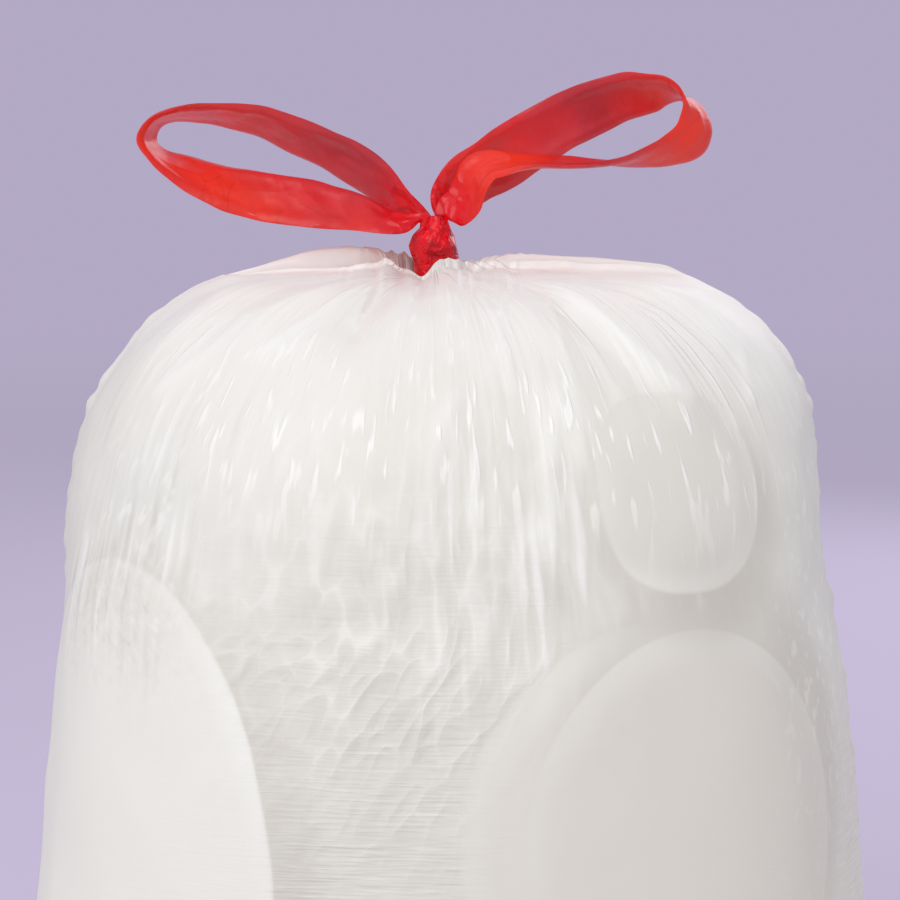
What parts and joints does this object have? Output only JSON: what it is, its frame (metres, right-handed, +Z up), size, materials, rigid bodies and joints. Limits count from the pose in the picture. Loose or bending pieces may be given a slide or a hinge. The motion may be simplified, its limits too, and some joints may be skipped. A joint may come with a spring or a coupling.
{
  "type": "filled drawstring bin bag",
  "caption": "Full white film kitchen bin bag, its gathered mouth tied shut by a red draw tape with a loop to each side of the knot.",
  "frame": {"origin": "middle of the flat underside that the bag rests on", "axes": "+X along the closed mouth towards the front tape's loop, +Y to the back, +Z up through the tied neck"},
  "size_m": [0.4155, 0.3743, 0.5168],
  "materials": {
    "white_film": "milky translucent polyethylene film, soft sheen, finely wrinkled",
    "red_film": "translucent red polyethylene film, smooth and glossy, creased"
  },
  "bodies": {
    "root": {"bag": "white_film", "back_draw_tape": "red_film", "front_draw_tape": "red_film"}
  },
  "joints": []
}
